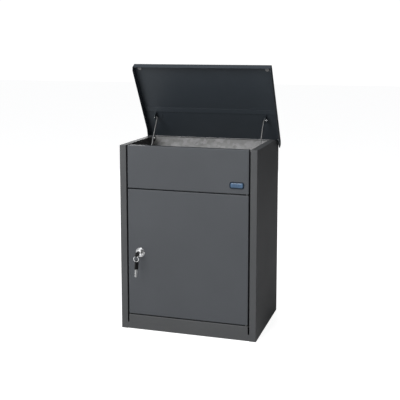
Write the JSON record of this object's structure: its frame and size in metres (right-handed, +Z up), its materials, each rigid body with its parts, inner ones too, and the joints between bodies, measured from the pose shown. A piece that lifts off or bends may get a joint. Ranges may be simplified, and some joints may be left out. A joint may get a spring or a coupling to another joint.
{
  "type": "parcel mailbox",
  "caption": "Sheet-steel parcel drop box with a rear-hinged lid linked by rods to a tilting tray, and a lockable front door with a key in its cam lock.",
  "frame": {"origin": "centre of the cabinet's footprint, on the ground", "axes": "+X to the right when facing the door, +Y to the rear, +Z up"},
  "size_m": [0.456, 0.3533, 0.8362],
  "materials": {
    "panel_paint": "anthracite powder coat, fine texture",
    "front_paint": "anthracite powder coat, fine texture",
    "lid_paint": "dark anthracite powder coat",
    "zinc_sheet": "galvanised sheet",
    "plated_steel": "zinc plated",
    "badge_rim": "gloss",
    "chrome": "polished",
    "key_steel": "nickel plated",
    "black_plastic": "moulded",
    "nylon": "black nylon",
    "rubber": "moulded",
    "silicone": "grey silicone",
    "badge_blue": "gloss"
  },
  "bodies": {
    "cabinet": {"left_side_panel": "panel_paint", "right_side_panel": "panel_paint", "rear_panel": "panel_paint", "base_pan": "panel_paint", "floor_mat": "rubber", "upper_front_panel": "front_paint", "front_panel_brackets": "panel_paint", "front_panel_screws": "plated_steel", "front_panel_nuts": "plated_steel", "badge_bezel": "badge_rim", "badge_insert": "badge_blue", "rear_deflector": "zinc_sheet", "door_hinge_pins": "plated_steel", "door_stop_tabs": "panel_paint", "door_stop_buffers": "rubber", "tray_pivot_posts": "plated_steel", "tray_pivot_caps": "chrome", "tray_stop_pegs": "plated_steel", "tray_stop_sleeves": "rubber"},
    "door": {"door_panel": "front_paint", "door_stiffener": "panel_paint", "door_hinge_bushes": "nylon", "lock_body": "chrome", "lock_nut": "plated_steel"},
    "lock_barrel": {"lock_plug": "chrome", "lock_cam": "plated_steel", "cam_screw": "plated_steel"},
    "door_key": {"door_key_blade": "key_steel", "door_key_bow": "black_plastic"},
    "ring": {"key_ring": "chrome"},
    "spare_key": {"spare_key_blade": "key_steel", "spare_key_bow": "black_plastic"},
    "lid": {"lid_panel": "lid_paint", "lid_cross_strip": "lid_paint", "lid_rod_brackets": "lid_paint", "lid_bumpers": "silicone", "lid_pivot_studs": "plated_steel", "lid_pivot_spacers": "nylon", "lid_pivot_nuts": "plated_steel"},
    "rod_left": {"lift_rod_left": "plated_steel", "rod_caps_left": "chrome"},
    "rod_right": {"lift_rod_right": "plated_steel", "rod_caps_right": "chrome"},
    "tray": {"parcel_tray": "zinc_sheet"}
  },
  "joints": [
    {"name": "lid_hinge", "type": "hinge", "parent": "cabinet", "child": "lid", "pos_m": [0, 0.138, 0.5775], "axis": [1, 0, 0], "range_deg": [0, 58]},
    {"name": "tray_hinge", "type": "hinge", "parent": "cabinet", "child": "tray", "pos_m": [0, 0.072, 0.4755], "axis": [1, 0, 0], "range_deg": [0, 58]},
    {"name": "rod_left_pivot", "type": "hinge", "parent": "lid", "child": "rod_left", "pos_m": [-0.1835, 0.08978, 0.65467], "axis": [1, 0, 0], "range_deg": [-58, 0]},
    {"name": "rod_right_pivot", "type": "hinge", "parent": "lid", "child": "rod_right", "pos_m": [0.1835, 0.08978, 0.65467], "axis": [1, 0, 0], "range_deg": [-58, 0]},
    {"name": "door_hinge", "type": "hinge", "parent": "cabinet", "child": "door", "pos_m": [0.1875, -0.1485, 0.25], "axis": [0, 0, 1], "range_deg": [0, 105]},
    {"name": "lock_turn", "type": "hinge", "parent": "door", "child": "lock_barrel", "pos_m": [-0.154, -0.155, 0.252], "axis": [0, -1, 0], "range_deg": [0, 90]},
    {"name": "key_withdraw", "type": "slide", "parent": "lock_barrel", "child": "door_key", "axis": [0, -1, 0], "range_m": [0, 0.02]},
    {"name": "ring_swing", "type": "hinge", "parent": "door_key", "child": "ring", "pos_m": [-0.154, -0.1912, 0.2492], "axis": [1, 0, 0], "range_deg": [-60, 10]},
    {"name": "spare_key_swing", "type": "hinge", "parent": "ring", "child": "spare_key", "pos_m": [-0.154, -0.1912, 0.23115], "axis": [0.9397, -0.342, 0], "range_deg": [-40, 25]}
  ],
  "couplings": [
    {"joint": "tray_hinge", "follows": "lid_hinge", "ratio": 1},
    {"joint": "rod_left_pivot", "follows": "lid_hinge", "ratio": -1},
    {"joint": "rod_right_pivot", "follows": "lid_hinge", "ratio": -1}
  ]
}
